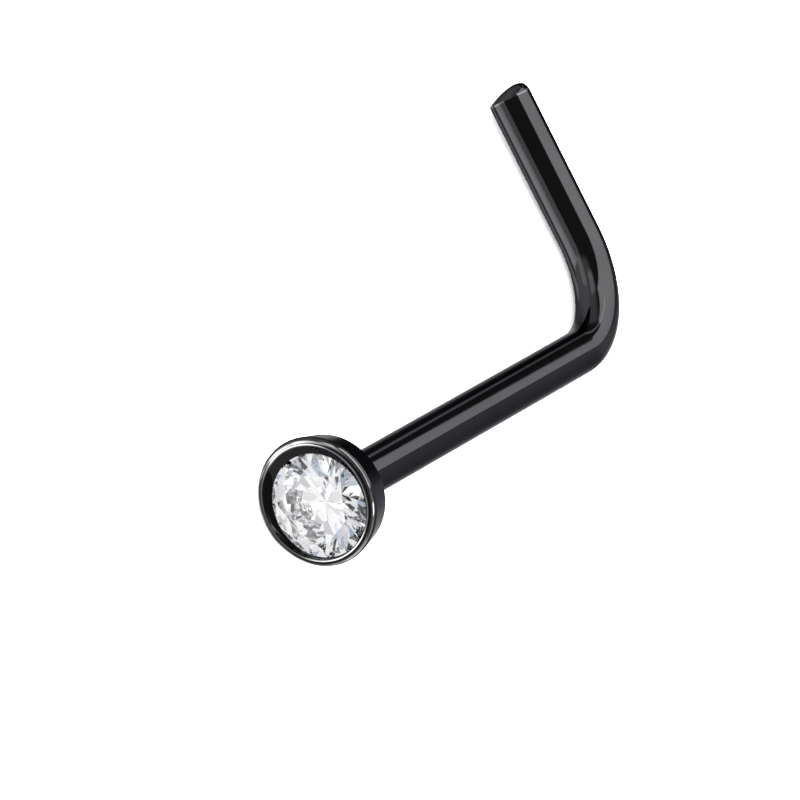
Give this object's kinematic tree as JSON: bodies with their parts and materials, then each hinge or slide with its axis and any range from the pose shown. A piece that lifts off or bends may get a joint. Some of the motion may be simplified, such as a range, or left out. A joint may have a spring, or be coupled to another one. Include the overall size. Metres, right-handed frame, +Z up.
{
  "type": "nose stud",
  "caption": "Black L-shaped nose stud: a small round bezel cup holding a clear brilliant-cut stone, on a straight wire post with a short bent leg and a rounded end.",
  "frame": {"origin": "middle of the bounding box's underside, on the level surface that the stud lies on", "axes": "+Y along the post from the stone to the bend (the post dips about 4 degrees towards the bend), -X along the short leg, +Z up from the surface; the stone faces -Y"},
  "size_m": [0.0048, 0.0096, 0.0018],
  "materials": {
    "black_metal": "polished black plated steel",
    "clear_stone": "clear brilliant-cut crystal"
  },
  "bodies": {
    "root": {"cup_and_post": "black_metal", "stone": "clear_stone"}
  },
  "joints": []
}
